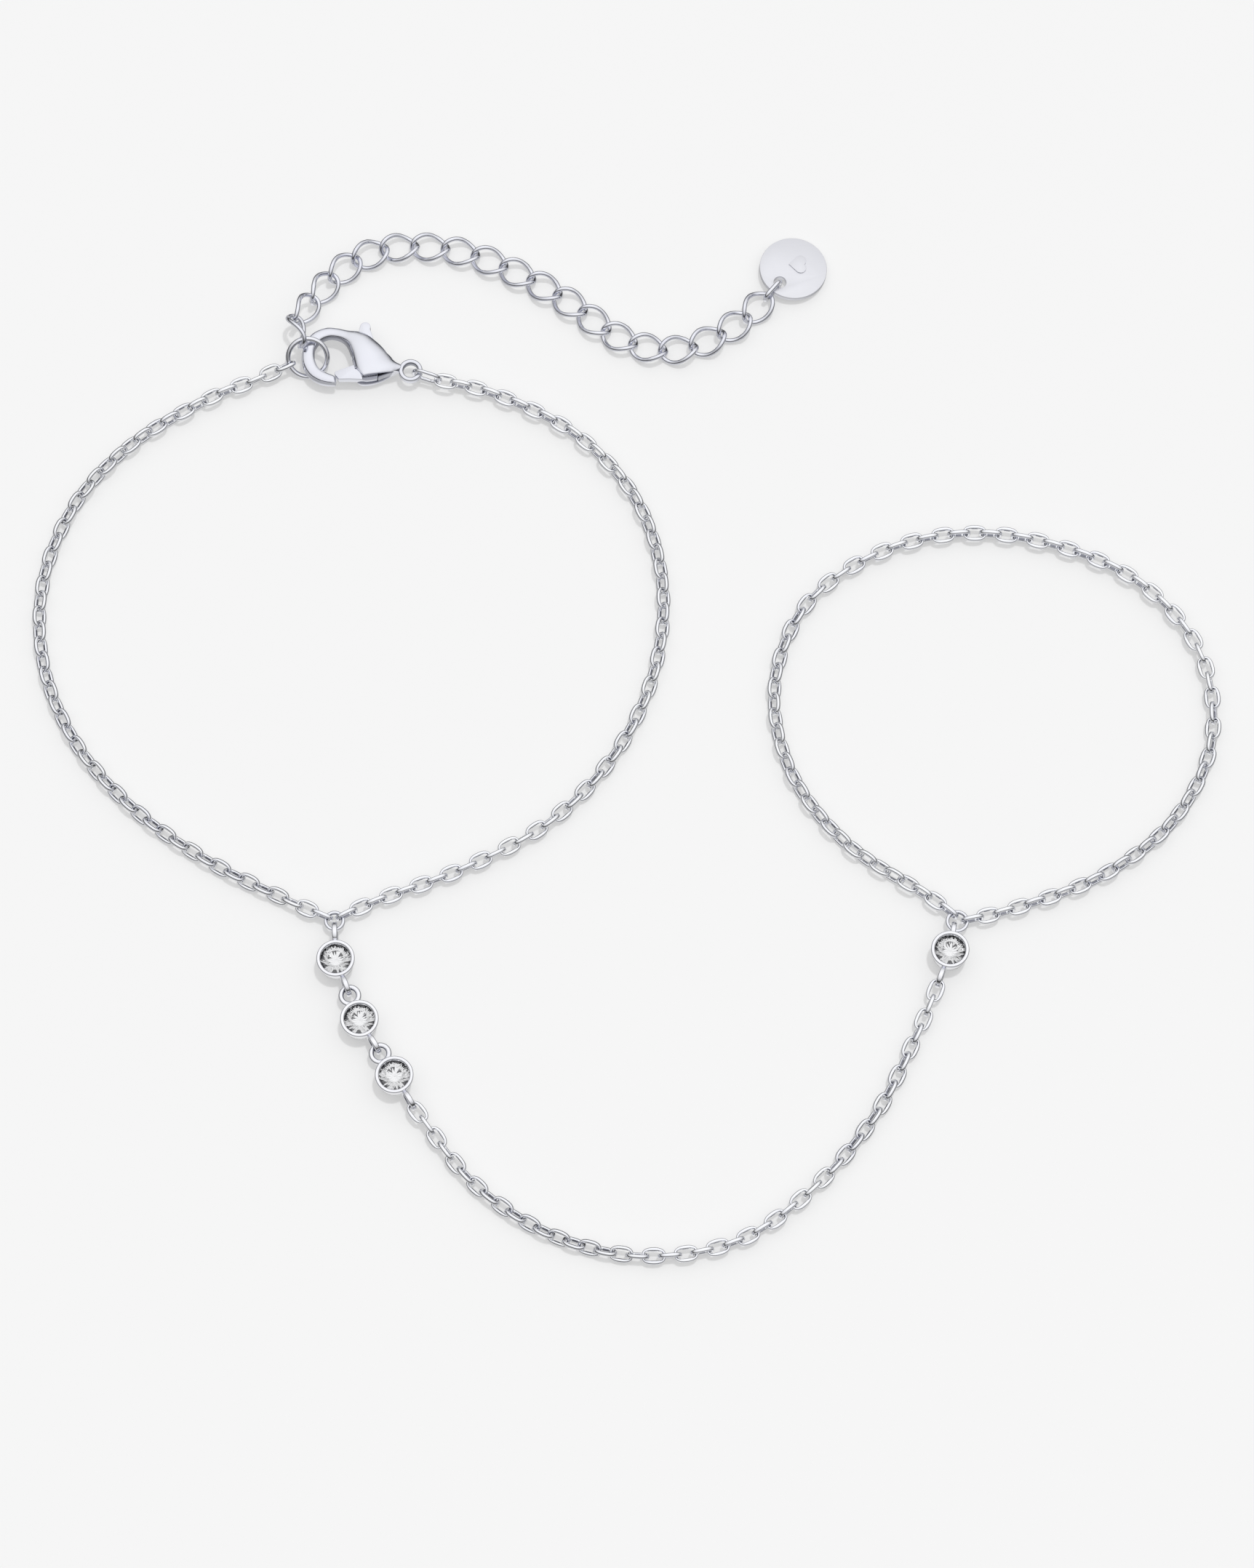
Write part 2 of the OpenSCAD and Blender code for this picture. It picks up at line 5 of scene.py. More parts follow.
import bpy
import numpy as np
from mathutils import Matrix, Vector


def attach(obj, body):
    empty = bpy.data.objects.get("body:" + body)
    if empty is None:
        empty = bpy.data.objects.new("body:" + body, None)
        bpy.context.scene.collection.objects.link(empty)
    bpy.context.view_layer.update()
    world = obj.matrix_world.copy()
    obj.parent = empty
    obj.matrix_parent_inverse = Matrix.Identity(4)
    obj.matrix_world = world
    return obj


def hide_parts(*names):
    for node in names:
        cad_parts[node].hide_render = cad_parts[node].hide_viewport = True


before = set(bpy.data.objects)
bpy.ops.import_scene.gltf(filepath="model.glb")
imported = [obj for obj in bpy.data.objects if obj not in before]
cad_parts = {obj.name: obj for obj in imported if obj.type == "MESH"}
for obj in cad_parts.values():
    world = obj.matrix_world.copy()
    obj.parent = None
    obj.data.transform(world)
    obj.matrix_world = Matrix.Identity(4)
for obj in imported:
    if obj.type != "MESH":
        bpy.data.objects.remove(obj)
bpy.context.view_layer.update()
MM = 0.001

# Sizes, the same as the solids', apart from the links' section on the second line, which is flattened here
CABLE_PITCH, LINK_L, LINK_W, CABLE_WIRE, LINK_GAP = 1.39, 2.06, 1.45, 0.28, 0.11
LINK_T, LINK_SIDE = 0.36, 0.34
LINK_OUTLINE, LINK_OPENING, LINK_SECTION = 2.5, 5.5, 2.7
CURB_PITCH, CURB_L, CURB_W, CURB_WIRE, CURB_TWIST, CURB_GAP = 2.72, 3.66, 2.75, 0.4, 45, 0.14
CUP_D, CUP_H, BEZEL_W, STONE_D, STONE_Z = 3.26, 1.9, 0.34, 2.7, 1.42
BAND_T, BAND_H, FLAT_EAR_T, EAR_D, LONG_EAR_D, SHORT_EAR_D, EAR_Z = 0.3, 0.46, 0.45, 1.95, 2.0, 1.7, 1.0
EAR_LAP, EAR_SINK, BEND_ROOM, TABLE_GAP, RISE_LEN = 0.23, 0.18, 0.05, 0.01, 4
CUP_AT = [(-24.7, -20.6), (-22.6, -25.9), (-19.6, -30.8), (27.4, -19.8)]
TOP_EAR_WAY, SWAG_START_WAY, SWAG_END_WAY, FINGER_EAR_WAY, SHORT_EAR_OUT = 93, -58, 250, 80, 1.8
JUMP_AT, JUMP_D, JUMP_WIRE, JUMP_LEAN, JUMP_WAY = (-28.05, 34.47), 3.9, 0.45, 38, 95
CLASP_AT, CLASP_WAY, END_RING_X = (-25.9, 34.85, 1.25), -13.5, 7.1
END_RING_D, END_RING_T, END_RING_H = 2.1, 0.4, 0.72
CLASP_LINK_L, CLASP_LINK_W, CLASP_LINK_WIRE, CLASP_LINK_WAY, CLASP_LINK_DROP = 2.8, 2.0, 0.34, -17, 0.2
PIVOT, PIN_D, LEVER_T, SLOT_T = (3.6, -0.55), 0.7, 0.86, 1.0
WRIST_RING_D, FINGER_RING_D, JUNCTION_Z = 1.8, 2.0, 0.88
TAG_AT, TAG_D, TAG_T, TAG_WAY, TAG_LEAN = (14.68, 43.2), 5.95, 0.5, 50, 5.2
TAG_HOLE_OUT, TAG_HOLE_D, TAG_LINK_L, TAG_LINK_W, TAG_LINK_WIRE = 1.87, 1.12, 2.5, 1.6, 0.4

# Routes on the table, and the roll of the links along them
WRIST_LEFT = [(-33, 32.4), (-36.5, 30.9), (-43, 26.8), (-48, 21.2), (-50.7, 13.8), (-50.4, 6), (-47.3, -1.2),
              (-42, -7.2), (-35.5, -11.8), (-28.6, -15.3)]
WRIST_RIGHT = [(-21.3, -15.2), (-13.7, -12.2), (-6.6, -8.1), (-1.1, -2.1), (2.3, 5.3), (3.1, 13.4), (0.9, 21.2),
               (-4.4, 27.4), (-11.5, 31.2)]
FINGER = [(25.4, -14.6), (18.8, -10.1), (14.1, -3.7), (12.7, 4.1), (15.5, 11.6), (21.9, 16.4), (29.6, 18.2),
          (37.6, 17), (44.8, 13.4), (49.6, 7.1), (50.3, -0.9), (46.8, -8), (40.5, -13), (33, -15.9)]
SWAG = [(-17.2, -34.4), (-12.6, -40.2), (-6, -44.5), (1.7, -46.2), (9.5, -44.8), (15.9, -40.1), (21, -33.9),
        (24.6, -26.8)]
EXTENDER_TOP = [(-29.2, 37.8, 1.8), (-27.6, 40, 1.25), (-26, 42.2, 1.05), (-24.1, 43.9, 0.9), (-20.5, 45.3, 0.66)]
EXTENDER = [(-14.9, 44.9, 0.66), (-9.8, 42.8, 0.66), (-5, 39.9, 0.66), (-0.7, 36.5, 0.66), (4.4, 35.3, 0.68),
            (9.4, 37.5, 0.98)]
WRIST_LEFT_ROLL = [(0, -35), (0.1, 5), (0.35, 45), (0.75, 40), (0.94, 34), (0.985, 6), (1, 0)]
WRIST_RIGHT_ROLL = [(0, 0), (0.1, 5), (0.4, 35), (0.65, 40), (0.85, 5), (1, 0)]
FINGER_ROLL = [(0, 0), (0.015, 6), (0.06, 28), (0.25, 40), (0.4, 5), (0.6, 0), (0.8, 35), (0.95, 5), (1, 0)]
SWAG_ROLL = [(0, 0), (0.1, 20), (0.3, 45), (0.45, 5), (0.6, 0), (0.75, 30), (0.9, 20), (1, 0)]
EXTENDER_ROLL = [(0, 56), (1, 42), (2, 28), (3, 14), (4, 0)]
FIRST_CURB_ROLL, LAST_CURB_ROLL = 77, 20


def vec(*xyz):
    return np.array(xyz, float)


def polar(r, way, z=0.0):
    a = math.radians(way)
    return vec(r * math.cos(a), r * math.sin(a), z)


def turn(x=0, y=0, z=0):
    """Turns about X, then Y, then Z, in degrees."""
    (a, b, c), (p, q, r) = np.cos(np.radians([x, y, z])), np.sin(np.radians([x, y, z]))
    about_x = np.array([[1, 0, 0], [0, a, -p], [0, p, a]])
    about_y = np.array([[b, 0, q], [0, 1, 0], [-q, 0, b]])
    about_z = np.array([[c, -r, 0], [r, c, 0], [0, 0, 1]])
    return about_z @ about_y @ about_x


def unit(v):
    return v / np.linalg.norm(v)


def lookup(t, table):
    return float(np.interp(t, [row[0] for row in table], [row[1] for row in table]))


def smooth(points, steps=10):
    """Catmull-Rom curve through the points; a point may hold any number of values."""
    p = np.array(points, float)
    out = []
    for i in range(len(p) - 1):
        a, b, c, d = p[max(i - 1, 0)], p[i], p[i + 1], p[min(i + 2, len(p) - 1)]
        for k in range(steps):
            t = k / steps
            out.append(0.5 * (2 * b + (c - a) * t + (2 * a - 5 * b + 4 * c - d) * t * t
                              + (3 * b - a - 3 * c + d) * t ** 3))
    return np.array(out + [p[-1]])


def distances(p):
    return np.concatenate([[0], np.cumsum(np.linalg.norm(np.diff(p, axis=0), axis=1))])


def rest_height(roll):
    a = math.radians(roll)
    return TABLE_GAP + LINK_T / 2 + (LINK_W - CABLE_WIRE) / 2 * max(abs(math.sin(a)), abs(math.cos(a)))


def joints(start, route, end, rolls, odd=True):
    """Points between the cable links, at equal steps from one end hook to the other."""
    flat = smooth([(start[0], start[1], 0), *[(x, y, 0) for x, y in route], (end[0], end[1], 0)])
    d = distances(flat)
    total, pitches = d[-1], d[-1] / CABLE_PITCH
    n = 2 * math.floor((pitches - 1) / 2 + 0.5) + 1 if odd else 2 * math.floor(pitches / 2 + 0.5)
    rise = [(0, start[2] - rest_height(lookup(0, rolls))), (RISE_LEN, 0), (total - RISE_LEN, 0),
            (total, end[2] - rest_height(lookup(1, rolls)))]
    s = np.linspace(0, total, n + 1)
    z = [rest_height(lookup(i / n, rolls)) + lookup(v, rise) for i, v in enumerate(s)]
    return np.stack([np.interp(s, d, flat[:, 0]), np.interp(s, d, flat[:, 1]), z], 1)


def joint_at(q, to, t):
    """The joint next to a ring whose wire is t thick at q, for a chain that leaves towards to."""
    return q - unit(vec(to[0], to[1], q[2]) - q) * (t + LINK_GAP) / 2


def between(a, b, roll):
    """Place and turn of a piece that lies along X, between two points."""
    v = b - a
    way, up = math.degrees(math.atan2(v[1], v[0])), math.degrees(math.atan2(v[2], math.hypot(v[0], v[1])))
    return turn(y=-up, z=way) @ turn(x=roll), (a + b) / 2


def placed(points, turned, at):
    return points @ turned.T + at


def tube_faces(rings, sides, closed):
    faces = []
    for i in range(rings if closed else rings - 1):
        j = (i + 1) % rings
        for k in range(sides):
            m = (k + 1) % sides
            faces.append((i * sides + k, j * sides + k, j * sides + m, i * sides + m))
    if not closed:
        faces.append(tuple(range(sides)))
        faces.append(tuple((rings - 1) * sides + k for k in range(sides - 1, -1, -1)))
    return faces


def lathe(profile, steps):
    """A closed profile of (radius, height) turned about Z."""
    p = np.array(profile, float)
    turns = [2 * math.pi * i / steps for i in range(steps)]
    rings = [np.stack([p[:, 0] * math.cos(a), p[:, 0] * math.sin(a), p[:, 1]], 1) for a in turns]
    return np.concatenate(rings), tube_faces(steps, len(p), True)


def rounded(w, h, r, n=4):
    """Outline of a w by h rectangle with round corners, from its middle, anticlockwise."""
    out = []
    for x, y, first in ((1, 1, 0), (-1, 1, 90), (-1, -1, 180), (1, -1, 270)):
        for k in range(n + 1):
            p = polar(r, first + 90 * k / n)
            out.append((x * (w / 2 - r) + p[0], y * (h / 2 - r) + p[1]))
    return out


def band_ring(d, t=BAND_T):
    """Ring of a band that is t thick, with round edges."""
    return lathe([((d - t) / 2 + x, y) for x, y in rounded(t, BAND_H, 0.44 * min(t, BAND_H))], 64)


class Parts:
    """Points and faces of several meshes, joined to one."""

    def __init__(self):
        self.points, self.faces, self.inner, self.count = [], [], [], 0

    def add(self, mesh, turned=np.eye(3), at=np.zeros(3), inner=None):
        """inner says for each face whether it gets the darker second metal: painted shade."""
        points, faces = mesh
        self.points.append(placed(np.asarray(points, float), turned, at))
        self.faces += [tuple(self.count + i for i in f) for f in faces]
        self.inner += list(inner) if inner is not None else [False] * len(faces)
        self.count += len(points)
        return self


def piece(name, parts, material, slot, *nodes, body="hand_chain", sharp=None, second=None):
    """Makes the object, which rides on the body and stands for the CAD nodes named. Faces marked as inner get the
    second material: the darker metal that paints shade, unless another is given."""
    data = bpy.data.meshes.new(name)
    data.from_pydata((np.concatenate(parts.points) * MM).tolist(), [], parts.faces)
    data.update()
    if sharp == 0:
        data.shade_flat()
    else:
        data.shade_smooth()
        if sharp:
            data.set_sharp_from_angle(angle=math.radians(sharp))
    data.materials.append(material)
    if any(parts.inner):
        data.materials.append(second or painted_shade_silver)
        data.polygons.foreach_set("material_index", [int(i) for i in parts.inner])
    obj = bpy.data.objects.new(name, data)
    bpy.context.scene.collection.objects.link(obj)
    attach(obj, body)
    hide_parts(*nodes)
    return obj


def solid(name, mesh):
    """A plain mesh object in millimetres, for cutting and rounding before it is dressed."""
    data = bpy.data.meshes.new(name)
    points, faces = mesh
    data.from_pydata(np.asarray(points, float).tolist(), [], [tuple(int(i) for i in f) for f in faces])
    data.update()
    obj = bpy.data.objects.new(name, data)
    bpy.context.scene.collection.objects.link(obj)
    return obj


def apply_modifiers(obj):
    graph = bpy.context.evaluated_depsgraph_get()
    new = bpy.data.meshes.new_from_object(obj.evaluated_get(graph))
    obj.modifiers.clear()
    old, obj.data = obj.data, new
    bpy.data.meshes.remove(old)


def cut(obj, *tools):
    for tool in tools:
        m = obj.modifiers.new("cut", "BOOLEAN")
        m.operation, m.solver, m.object = "DIFFERENCE", "EXACT", tool
    apply_modifiers(obj)
    for tool in tools:
        bpy.data.objects.remove(tool)


def soften(obj, width, angle):
    """Rounds the edges that turn by more than the angle, in two steps."""
    m = obj.modifiers.new("soften", "BEVEL")
    m.width, m.segments, m.limit_method, m.angle_limit = width, 2, "ANGLE", math.radians(angle)
    apply_modifiers(obj)


def prism(outline, low, high):
    n = len(outline)
    points = [(x, y, low) for x, y in outline] + [(x, y, high) for x, y in outline]
    faces = [tuple(range(n - 1, -1, -1)), tuple(range(n, 2 * n))]
    faces += [(i, (i + 1) % n, n + (i + 1) % n, n + i) for i in range(n)]
    return points, faces


def mesh_of(obj):
    """Takes the mesh of a plain object and removes the object."""
    n = len(obj.data.vertices)
    co = np.zeros(3 * n)
    obj.data.vertices.foreach_get("co", co)
    faces = [tuple(p.vertices) for p in obj.data.polygons]
    bpy.data.objects.remove(obj)
    return co.reshape(n, 3), faces


def middles(points, faces):
    """The middle and the normal of each face."""
    out = []
    for f in faces:
        p = points[list(f)]
        turned = np.cross(p, np.roll(p, -1, axis=0)).sum(0)
        out.append((p.mean(0), turned / max(np.linalg.norm(turned), 1e-12)))
    return out


def facing(points, faces, axis=(0, 0), share=0.6):
    """Says for each face whether it looks at the upright line through axis."""
    flags = []
    for at, normal in middles(points, faces):
        v = np.array(axis) - at[:2]
        flags.append(bool(normal[:2] @ v > share * max(np.linalg.norm(v), 1e-9)))
    return flags


# Materials

def node(tree, kind, **values):
    n = tree.nodes.new(kind)
    for key, value in values.items():
        if key in n.inputs:
            n.inputs[key].default_value = value
        else:
            setattr(n, key, value)
    return n


def new_material(name):
    m = bpy.data.materials.new(name)
    m.use_nodes = True
    tree = m.node_tree
    return m, tree, tree.nodes["Principled BSDF"]


def silver(name, light, shade, rough, grain, bump, brushed=1.0):
    """Plated silver: a slow shift of tone, roughness that varies with handling, and a fine polish grain.
    grain is the size of the grain in millimetres; brushed stretches it along X."""
    m, tree, shader = new_material(name)
    link = tree.links.new
    place = node(tree, "ShaderNodeTexCoord")
    scaled = node(tree, "ShaderNodeMapping")
    scaled.inputs["Scale"].default_value = (1 / brushed, 1, 1)
    link(place.outputs["Object"], scaled.inputs["Vector"])
    tone = node(tree, "ShaderNodeTexNoise", Scale=260.0, Detail=3.0)
    link(place.outputs["Object"], tone.inputs["Vector"])
    ramp = node(tree, "ShaderNodeValToRGB")
    ramp.color_ramp.elements[0].position, ramp.color_ramp.elements[0].color = 0.3, (*shade, 1)
    ramp.color_ramp.elements[1].position, ramp.color_ramp.elements[1].color = 0.7, (*light, 1)
    link(tone.outputs["Fac"], ramp.inputs["Fac"])
    link(ramp.outputs["Color"], shader.inputs["Base Color"])
    polish = node(tree, "ShaderNodeTexNoise", Scale=1000.0 / grain, Detail=4.0, Roughness=0.6)
    link(scaled.outputs["Vector"], polish.inputs["Vector"])
    spread = node(tree, "ShaderNodeMapRange")
    spread.inputs["To Min"].default_value, spread.inputs["To Max"].default_value = rough
    link(polish.outputs["Fac"], spread.inputs["Value"])
    link(spread.outputs["Result"], shader.inputs["Roughness"])
    relief = node(tree, "ShaderNodeBump", Strength=bump, Distance=0.00002)
    link(polish.outputs["Fac"], relief.inputs["Height"])
    link(relief.outputs["Normal"], shader.inputs["Normal"])
    shader.inputs["Metallic"].default_value = 1.0
    return m


chain_silver = silver("chain_silver", (0.965, 0.975, 1.0), (0.92, 0.93, 0.985), (0.08, 0.18), 0.5, 0.12)
extender_silver = silver("extender_silver", (0.9, 0.91, 0.97), (0.8, 0.81, 0.89), (0.06, 0.16), 0.7, 0.12)
fitting_silver = silver("fitting_silver", (0.92, 0.925, 0.97), (0.84, 0.85, 0.91), (0.06, 0.15), 0.6, 0.12)
clasp_silver = silver("clasp_silver", (0.815, 0.825, 0.885), (0.75, 0.76, 0.83), (0.07, 0.15), 1.2, 0.1)
setting_silver = silver("setting_silver", (0.94, 0.945, 0.98), (0.88, 0.885, 0.93), (0.06, 0.15), 0.8, 0.1)
# Darker metal for hollows, holes, link openings, creases and the clasp's slot: painted shade and painted dark
# reflection.
painted_shade_silver = silver("painted_shade_silver", (0.42, 0.425, 0.48), (0.3, 0.31, 0.36), (0.22, 0.36), 0.3, 0.2)
tag_silver = silver("tag_silver", (0.81, 0.815, 0.86), (0.78, 0.785, 0.83), (0.3, 0.4), 0.12, 0.25, brushed=9.0)


def stone_material():
    m, tree, shader = new_material("clear_stone")
    cloud = node(tree, "ShaderNodeTexNoise", Scale=900.0, Detail=2.0)
    place = node(tree, "ShaderNodeTexCoord")
    tree.links.new(place.outputs["Object"], cloud.inputs["Vector"])
    ramp = node(tree, "ShaderNodeValToRGB")
    ramp.color_ramp.elements[0].color = (0.88, 0.89, 0.91, 1)
    ramp.color_ramp.elements[1].color = (0.96, 0.96, 0.97, 1)
    tree.links.new(cloud.outputs["Fac"], ramp.inputs["Fac"])
    tree.links.new(ramp.outputs["Color"], shader.inputs["Base Color"])
    shader.inputs["Roughness"].default_value = 0.0
    shader.inputs["IOR"].default_value = 2.15
    shader.inputs["Transmission Weight"].default_value = 1.0
    return m


clear_stone = stone_material()
# Near-black metal on some facets of the stones: painted dark reflection.
painted_reflection_facet = silver("painted_reflection_facet", (0.05, 0.05, 0.06), (0.015, 0.015, 0.02), (0.1, 0.3), 0.2, 0.1)

# Hooks of the chains, at these angles on their rings

JUMP_CHAIN_HOOK, JUMP_EXTENDER_HOOK = 107, 14
WRIST_LEFT_HOOK, WRIST_RIGHT_HOOK = 150, 35
FINGER_START_HOOK, FINGER_END_HOOK = 120, 10
# How far the finger's ring lies beyond its ear's end and to the side of it
FINGER_RING_OUT, FINGER_RING_SIDE = 0.28, 0.22

jump_r = (JUMP_D - JUMP_WIRE) / 2
jump_mid = vec(*JUMP_AT, jump_r * math.sin(math.radians(JUMP_LEAN)) + JUMP_WIRE / 2 + TABLE_GAP)
jump_turn = turn(z=JUMP_WAY) @ turn(y=-JUMP_LEAN)


def on_jump_ring(a):
    return jump_mid + jump_turn @ polar(jump_r, a)


def ear_out(d):
    return CUP_D / 2 - EAR_LAP + d / 2


wrist_ring_r, finger_ring_r = (WRIST_RING_D - BAND_T) / 2, (FINGER_RING_D - BAND_T) / 2
wrist_ring_at = vec(*CUP_AT[0], JUNCTION_Z) + polar(ear_out(LONG_EAR_D) + LONG_EAR_D / 2 - BAND_T * 1.5 - LINK_GAP
                                                   - BEND_ROOM + wrist_ring_r, TOP_EAR_WAY)
finger_ring_at = (vec(*CUP_AT[3], JUNCTION_Z)
                  + polar(SHORT_EAR_OUT + (SHORT_EAR_D - BAND_T) / 2 + FINGER_RING_OUT, FINGER_EAR_WAY)
                  + polar(FINGER_RING_SIDE, FINGER_EAR_WAY - 90))
clasp_at = vec(*CLASP_AT)
clasp_turn = turn(z=CLASP_WAY)
end_ring_at = clasp_at + polar(END_RING_X, CLASP_WAY)
clasp_link_start = end_ring_at + polar(END_RING_D / 2 - END_RING_T - LINK_GAP - 2 * BEND_ROOM - CLASP_LINK_WIRE / 2,
                                       CLASP_LINK_WAY)
clasp_link_end = clasp_link_start + polar(CLASP_LINK_L - CLASP_LINK_WIRE, CLASP_LINK_WAY, -CLASP_LINK_DROP)


def wrist_hook(way):
    return wrist_ring_at + polar(wrist_ring_r, way)


def finger_hook(way):
    return finger_ring_at + polar(finger_ring_r, way)


def ear_end(i, way):
    return vec(*CUP_AT[i], EAR_Z) + polar(ear_out(EAR_D) + (EAR_D - BAND_T) / 2, way)


# Cable chains: oval links with a squared opening and flattened faces

def superellipse(c, s, n):
    """Point of a superellipse of half width and height 1, where c and s are a cosine and sine."""
    return np.sign(c) * np.abs(c) ** (2 / n), np.sign(s) * np.abs(s) ** (2 / n)


def reach(c, s, a, b, n):
    """Distance from the middle to a superellipse of half length a and half width b, in the direction c, s."""
    return (abs(c / a) ** n + abs(s / b) ** n) ** (-1 / n)


def cable_link(steps=36, sides=12):
    rings = []
    t = 2 * np.pi * np.arange(sides) / sides
    x, z = superellipse(np.cos(t), np.sin(t), LINK_SECTION)
    for i in range(steps):
        u = 2 * math.pi * (i + 0.5) / steps
        way = math.atan2(LINK_W * math.sin(u), LINK_L * math.cos(u))
        c, s = math.cos(way), math.sin(way)
        far = reach(c, s, LINK_L / 2, LINK_W / 2, LINK_OUTLINE)
        near = reach(c, s, LINK_L / 2 - CABLE_WIRE, LINK_W / 2 - LINK_SIDE, LINK_OPENING)
        r = (far + near) / 2 + x * (far - near) / 2
        rings.append(np.stack([r * c, r * s, z * LINK_T / 2], 1))
    return np.concatenate(rings), tube_faces(steps, sides, True)


def cable(j, rolls):
    """Links from joint to joint, every second one turned by a quarter, with painted shade on the faces round their
    openings.
    """
    parts, link, n = Parts(), cable_link(), len(j) - 1
    # Faces round each link's opening get painted shade.
    inside = facing(*link, share=0.8)
    for i in range(n):
        roll = lookup((i + 0.5) / n, rolls) + (90 if i % 2 == 0 else 180)
        parts.add(link, *between(j[i], j[i + 1], roll), inner=inside)
    return parts


left = joints(joint_at(on_jump_ring(JUMP_CHAIN_HOOK), WRIST_LEFT[0], JUMP_WIRE), WRIST_LEFT,
              joint_at(wrist_hook(WRIST_LEFT_HOOK), WRIST_LEFT[-1], BAND_T + BEND_ROOM), WRIST_LEFT_ROLL)
right = joints(joint_at(wrist_hook(WRIST_RIGHT_HOOK), WRIST_RIGHT[0], BAND_T + BEND_ROOM), WRIST_RIGHT,
               joint_at(clasp_link_end, WRIST_RIGHT[-1], CLASP_LINK_WIRE), WRIST_RIGHT_ROLL, odd=False)
finger = joints(joint_at(finger_hook(FINGER_START_HOOK), FINGER[0], BAND_T + 3 * BEND_ROOM), FINGER,
                joint_at(finger_hook(FINGER_END_HOOK), FINGER[-1], BAND_T + BEND_ROOM), FINGER_ROLL)
swag = joints(joint_at(ear_end(2, SWAG_START_WAY), SWAG[0], BAND_T + BEND_ROOM), SWAG,
              joint_at(ear_end(3, SWAG_END_WAY), SWAG[-1], BAND_T + BEND_ROOM), SWAG_ROLL)
piece("wrist_links_left", cable(left, WRIST_LEFT_ROLL), chain_silver, "chain_silver", "wrist_chain_left")
piece("wrist_links_right", cable(right, WRIST_RIGHT_ROLL), chain_silver, "chain_silver", "wrist_chain_right")
piece("finger_links", cable(finger, FINGER_ROLL), chain_silver, "chain_silver", "finger_chain")


def turned_rolls(rolls, by):
    return [(t, r + by) for t, r in rolls]


piece("swag_links", cable(swag, turned_rolls(SWAG_ROLL, -90)), chain_silver, "chain_silver", "connector_chain")


# Extender: curb links of round wire, each with a small solder seam at one of the angles listed

SOLDER_REACH, SOLDER_RISE = 0.09, 0.1
SOLDER_SEAMS = (70, 112, 250, 84, 290, 64, 100, 270, 78)


def curb_link(seam, steps=56, sides=14):
    a, b = (CURB_L - CURB_WIRE) / 2, (CURB_W - CURB_WIRE) / 2

    def twisted(x, y, u):
        w = math.radians(-CURB_TWIST * math.cos(u))
        return vec(x, y * math.cos(w), y * math.sin(w))

    def point(u):
        return twisted(a * math.cos(u), b * math.sin(u), u)

    rings = []
    for i in range(steps):
        u = 2 * math.pi * i / steps
        along = unit(point(u + 0.02) - point(u - 0.02))
        raw = twisted(b * math.cos(u), a * math.sin(u), u)
        out = unit(raw - along * (raw @ along))
        side = np.cross(along, out)
        off = math.remainder(u - math.radians(seam), 2 * math.pi) / SOLDER_REACH
        r = CURB_WIRE / 2 * (1 + SOLDER_RISE * math.exp(-off * off))
        rings.append([point(u) + r * (out * math.cos(t) + side * math.sin(t))
                      for t in 2 * np.pi * np.arange(sides) / sides])
    return np.concatenate(rings), tube_faces(steps, sides, True)


tag_hole_at = vec(*TAG_AT, 0) - polar(TAG_HOLE_OUT, TAG_WAY)
tag_link_in = tag_hole_at + polar(0.1, TAG_WAY, TAG_LINK_W / 2)
tag_link_out = tag_link_in - polar(TAG_LINK_L - TAG_LINK_WIRE, TAG_WAY)
ext_hook = on_jump_ring(JUMP_EXTENDER_HOOK)
ext_start = ext_hook - unit(vec(*EXTENDER_TOP[0]) - ext_hook) * (JUMP_WIRE + CURB_GAP) / 2
ext_end = joint_at(tag_link_out, EXTENDER[-1], TAG_LINK_WIRE + BEND_ROOM)
ext = smooth([*EXTENDER_TOP, *EXTENDER, ext_end])
ext_d = distances(ext)
ext_n = round(ext_d[-1] / CURB_PITCH)
ext_j = np.stack([np.interp(np.linspace(0, ext_d[-1], ext_n + 1), ext_d, ext[:, k]) for k in range(3)], 1)
ext_roll = EXTENDER_ROLL + [(ext_n - 4, 0), (ext_n - 1, LAST_CURB_ROLL)]
first_end = ext_start + unit(ext_j[0] - ext_start) * CURB_PITCH
curbs = Parts()
curbs.add(curb_link(SOLDER_SEAMS[0]), *between(ext_start, first_end, FIRST_CURB_ROLL))
for i in range(ext_n):
    seam = SOLDER_SEAMS[i % len(SOLDER_SEAMS)]
    curbs.add(curb_link(seam), *between(ext_j[i], ext_j[i + 1], lookup(i, ext_roll)))
piece("extender_links", curbs, extender_silver, "extender_silver", "extender_chain")


# Wire rings and oval links, each with a closing seam

